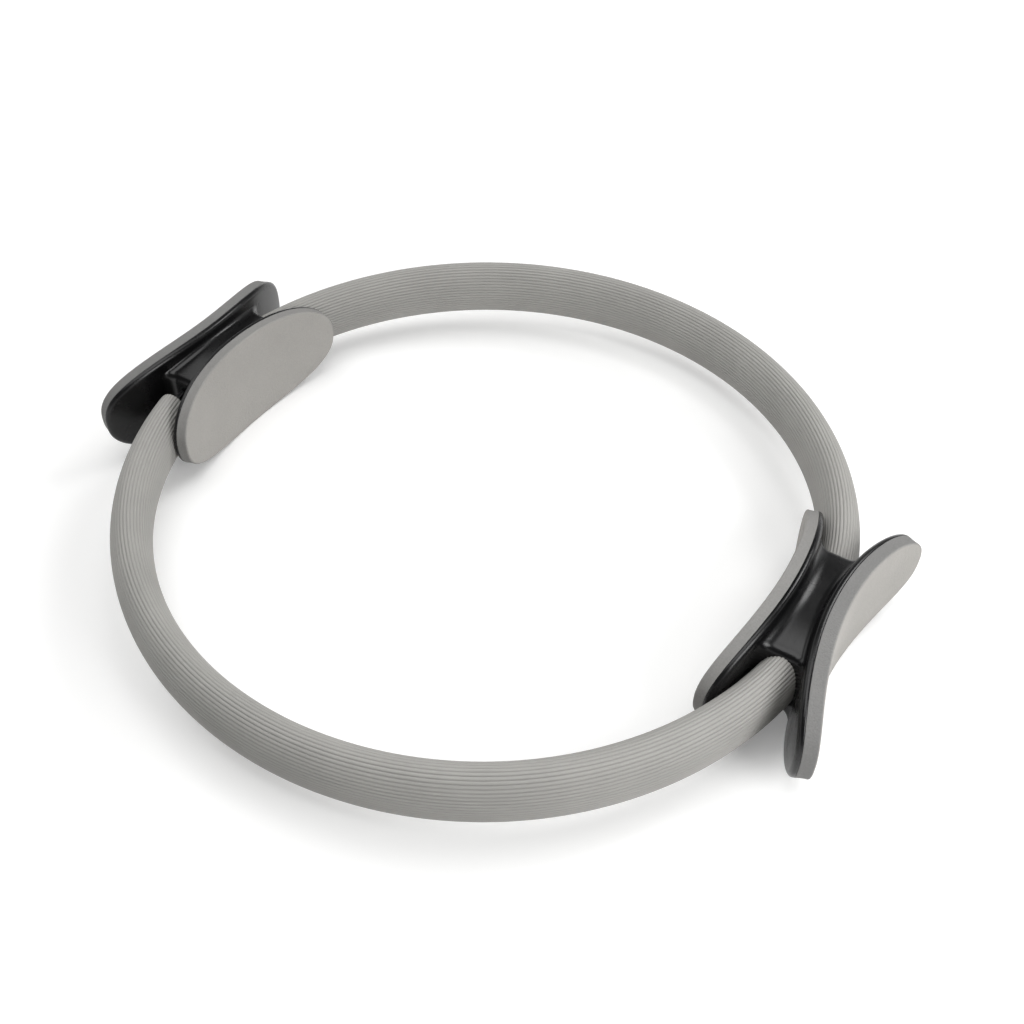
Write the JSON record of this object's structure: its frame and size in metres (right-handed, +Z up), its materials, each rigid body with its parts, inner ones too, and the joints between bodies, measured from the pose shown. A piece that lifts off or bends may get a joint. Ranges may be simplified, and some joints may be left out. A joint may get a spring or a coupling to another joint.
{
  "type": "pilates ring",
  "caption": "Flexible round pilates ring lying flat: sprung hoop in a ribbed grey sleeve, with opposed black saddle handles that carry concave grey foam pads inside and out.",
  "frame": {"origin": "centre of the hoop, on the floor that the ring lies on", "axes": "+Z up, through the open middle of the ring; +X from the hoop's centre to the right handle; the front of the ring is -Y"},
  "size_m": [0.3942, 0.36, 0.055],
  "materials": {
    "sleeve_rubber": "matt grey elastomer with fine lengthwise ribs",
    "handle_plastic": "satin black moulded plastic",
    "pad_foam": "matt grey closed-cell foam, square cut",
    "band_steel": "blackened rolled spring steel",
    "screw_steel": "zinc plated",
    "insert_brass": "turned brass"
  },
  "bodies": {
    "right_handle": {"right_inner_paddle": "handle_plastic", "right_outer_paddle": "handle_plastic", "right_inner_pad": "pad_foam", "right_outer_pad": "pad_foam", "right_screws": "screw_steel", "right_inserts": "insert_brass", "right_splice_plate": "band_steel", "right_rivets": "band_steel", "right_sleeve_ends": "sleeve_rubber", "inner_band": "band_steel", "outer_band": "band_steel"},
    "front_right": {"front_right_sleeve": "sleeve_rubber"},
    "front_middle": {"front_middle_sleeve": "sleeve_rubber"},
    "front_left": {"front_left_sleeve": "sleeve_rubber"},
    "left_handle": {"left_inner_paddle": "handle_plastic", "left_outer_paddle": "handle_plastic", "left_inner_pad": "pad_foam", "left_outer_pad": "pad_foam", "left_screws": "screw_steel", "left_inserts": "insert_brass", "left_splice_plate": "band_steel", "left_rivets": "band_steel", "left_sleeve_ends": "sleeve_rubber"},
    "back_left": {"back_left_sleeve": "sleeve_rubber"},
    "back_middle_left": {"back_middle_left_sleeve": "sleeve_rubber"},
    "back_right": {"back_right_sleeve": "sleeve_rubber"},
    "back_middle_right": {"back_middle_right_sleeve": "sleeve_rubber"}
  },
  "joints": [
    {"name": "front_right_bend", "type": "hinge", "parent": "right_handle", "child": "front_right", "pos_m": [0.16415, -0.07386, 0.0275], "axis": [0, 0, 1], "range_deg": [-6, 20], "stiffness_Nm_per_rad": 7, "deforming": ["inner_band", "outer_band"]},
    {"name": "front_right_shoulder", "type": "hinge", "parent": "front_right", "child": "front_middle", "pos_m": [0.05513, -0.15148, 0.0275], "axis": [0, 0, -1], "range_deg": [-6, 20], "stiffness_Nm_per_rad": 7},
    {"name": "front_left_shoulder", "type": "hinge", "parent": "front_middle", "child": "front_left", "pos_m": [-0.05513, -0.15148, 0.0275], "axis": [0, 0, -1], "range_deg": [-6, 20], "stiffness_Nm_per_rad": 7},
    {"name": "front_left_bend", "type": "hinge", "parent": "front_left", "child": "left_handle", "pos_m": [-0.16415, -0.07386, 0.0275], "axis": [0, 0, 1], "range_deg": [-6, 20], "stiffness_Nm_per_rad": 7},
    {"name": "back_left_bend", "type": "hinge", "parent": "left_handle", "child": "back_left", "pos_m": [-0.16415, 0.07386, 0.0275], "axis": [0, 0, 1], "range_deg": [-6, 20], "stiffness_Nm_per_rad": 7},
    {"name": "back_left_shoulder", "type": "hinge", "parent": "back_left", "child": "back_middle_left", "pos_m": [-0.05513, 0.15148, 0.0275], "axis": [0, 0, -1], "range_deg": [-6, 20], "stiffness_Nm_per_rad": 7},
    {"name": "back_right_bend", "type": "hinge", "parent": "right_handle", "child": "back_right", "pos_m": [0.16415, 0.07386, 0.0275], "axis": [0, 0, -1], "range_deg": [-6, 20], "stiffness_Nm_per_rad": 7},
    {"name": "back_right_shoulder", "type": "hinge", "parent": "back_right", "child": "back_middle_right", "pos_m": [0.05513, 0.15148, 0.0275], "axis": [0, 0, 1], "range_deg": [-6, 20], "stiffness_Nm_per_rad": 7}
  ],
  "couplings": [
    {"joint": "front_right_shoulder", "follows": "front_right_bend", "ratio": 1},
    {"joint": "front_left_shoulder", "follows": "front_right_bend", "ratio": 1},
    {"joint": "front_left_bend", "follows": "front_right_bend", "ratio": 1},
    {"joint": "back_left_bend", "follows": "front_right_bend", "ratio": 1},
    {"joint": "back_left_shoulder", "follows": "front_right_bend", "ratio": 1},
    {"joint": "back_right_bend", "follows": "front_right_bend", "ratio": 1},
    {"joint": "back_right_shoulder", "follows": "front_right_bend", "ratio": 1}
  ]
}
